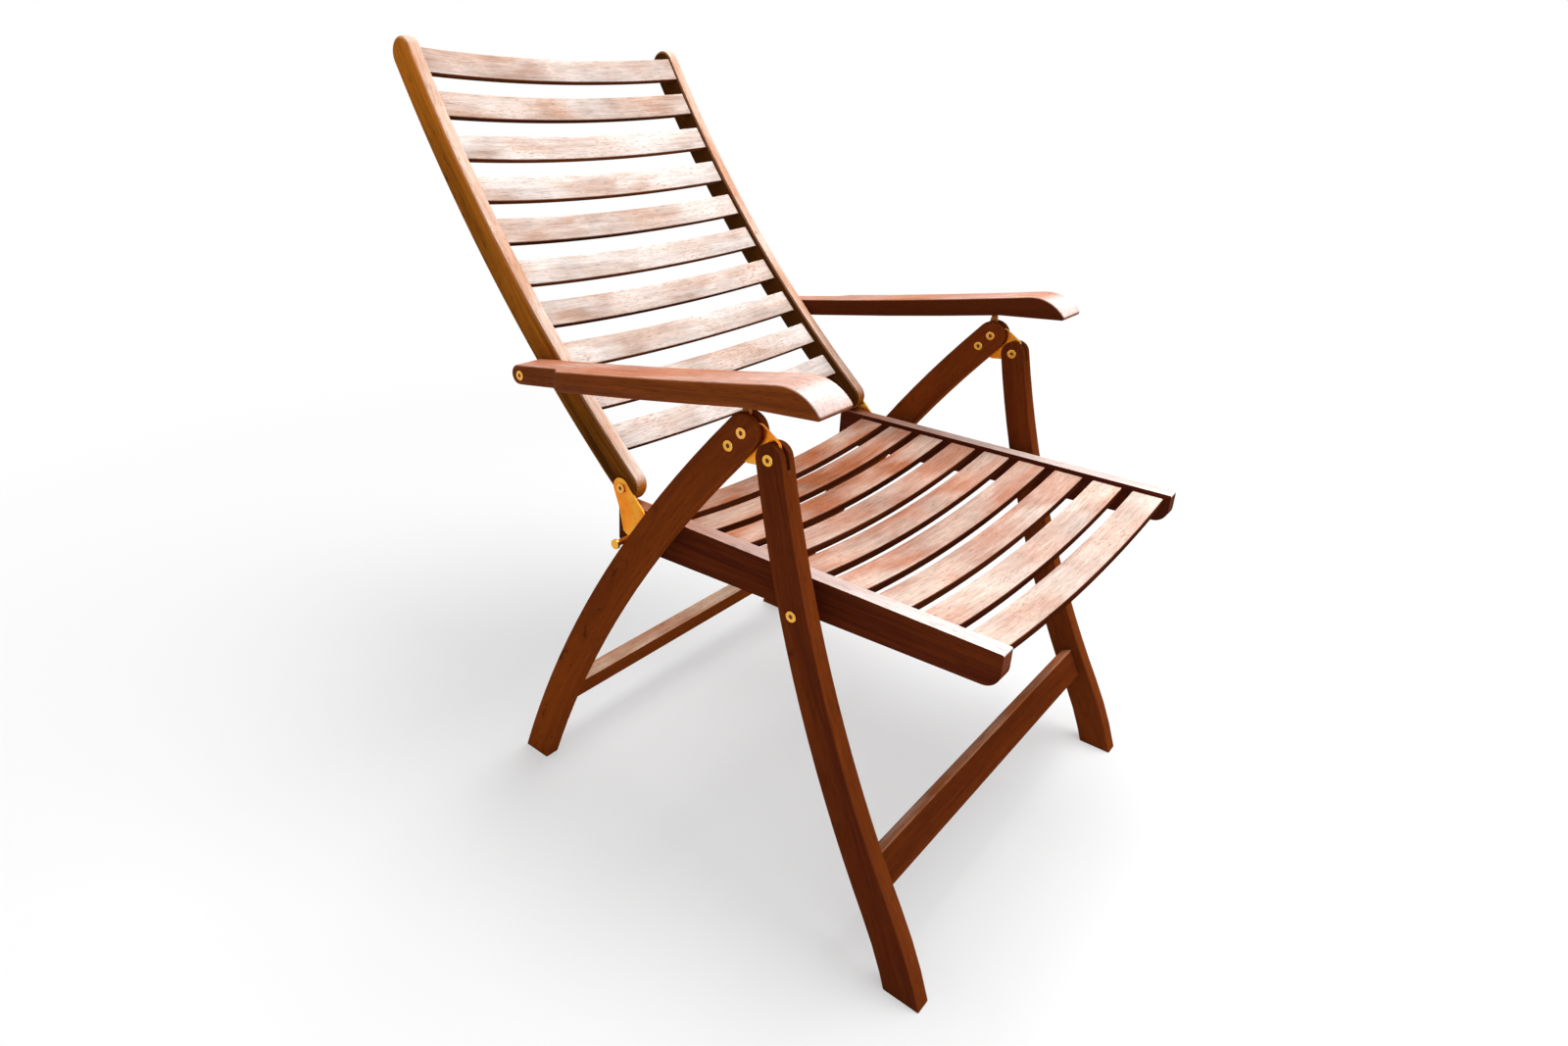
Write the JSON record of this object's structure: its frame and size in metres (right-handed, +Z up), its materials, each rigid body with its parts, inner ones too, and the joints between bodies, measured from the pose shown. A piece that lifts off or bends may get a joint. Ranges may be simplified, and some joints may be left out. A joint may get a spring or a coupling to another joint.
{
  "type": "folding garden chair",
  "caption": "Folding hardwood garden chair with curved legs, dished slats, a high reclining back and armrests that lock on notched racks.",
  "frame": {"origin": "centre of the bounding box in plan, on the floor under the feet", "axes": "X across the chair, +Y to the back, +Z up; the sitter looks along -Y"},
  "size_m": [0.638, 0.9242, 0.9707],
  "materials": {
    "frame_wood": "oiled dark hardwood, satin",
    "seat_slats": "oiled hardwood with open grain, satin",
    "back_slats": "oiled hardwood with open grain, satin",
    "fastener_brass": "polished brass",
    "plate_brass": "brass plated sheet"
  },
  "bodies": {
    "seat": {"seat_rail_right": "frame_wood", "seat_rail_left": "frame_wood", "seat_slat_1": "seat_slats", "seat_slat_2": "seat_slats", "seat_slat_3": "seat_slats", "seat_slat_4": "seat_slats", "seat_slat_5": "seat_slats", "seat_slat_6": "seat_slats", "seat_slat_7": "seat_slats", "seat_slat_8": "seat_slats", "seat_slat_9": "seat_slats", "hinge_plate_right": "plate_brass", "hinge_plate_left": "plate_brass", "hinge_plate_screws": "fastener_brass", "stop_pins": "fastener_brass", "back_hinge_bolts": "fastener_brass"},
    "front_legs": {"front_leg_right": "frame_wood", "front_leg_left": "frame_wood", "front_stretcher": "frame_wood", "leg_pivot_bolts": "fastener_brass", "seat_pivot_bolts": "fastener_brass", "seat_pivot_spacers": "fastener_brass"},
    "back_legs": {"back_leg_right": "frame_wood", "back_leg_left": "frame_wood", "back_leg_stretcher": "frame_wood", "leg_plate_right": "plate_brass", "leg_plate_left": "plate_brass", "leg_plate_bolts": "fastener_brass"},
    "back": {"back_stile_right": "frame_wood", "back_stile_left": "frame_wood", "back_slat_1": "back_slats", "back_slat_2": "back_slats", "back_slat_3": "back_slats", "back_slat_4": "back_slats", "back_slat_5": "back_slats", "back_slat_6": "back_slats", "back_slat_7": "back_slats", "back_slat_8": "back_slats", "back_slat_9": "back_slats", "back_slat_10": "back_slats", "arm_bolt_right": "fastener_brass", "arm_bolt_left": "fastener_brass"},
    "armrest_right": {"arm_right": "frame_wood", "arm_rack_right": "plate_brass", "arm_bush_right": "fastener_brass"},
    "armrest_left": {"arm_left": "frame_wood", "arm_rack_left": "plate_brass", "arm_bush_left": "fastener_brass"}
  },
  "joints": [
    {"name": "fold", "type": "hinge", "parent": "seat", "child": "front_legs", "pos_m": [0, -0.25373, 0.4042], "axis": [1, 0, 0], "range_deg": [0, 85.5]},
    {"name": "leg_close", "type": "hinge", "parent": "front_legs", "child": "back_legs", "pos_m": [0, -0.21313, 0.5665], "axis": [-1, 0, 0], "range_deg": [0, 48]},
    {"name": "recline", "type": "hinge", "parent": "seat", "child": "back", "pos_m": [0, 0.03087, 0.4523], "axis": [1, 0, 0], "range_deg": [0, 28]},
    {"name": "arm_level_right", "type": "hinge", "parent": "back", "child": "armrest_right", "pos_m": [-0.283, 0.16687, 0.576], "axis": [-1, 0, 0], "range_deg": [0, 20.3]},
    {"name": "arm_level_left", "type": "hinge", "parent": "back", "child": "armrest_left", "pos_m": [0.283, 0.16687, 0.576], "axis": [-1, 0, 0], "range_deg": [0, 20.3]}
  ],
  "couplings": [
    {"joint": "leg_close", "follows": "fold", "ratio": 0.5614},
    {"joint": "arm_level_right", "follows": "recline", "ratio": 0.725},
    {"joint": "arm_level_left", "follows": "recline", "ratio": 0.725}
  ]
}
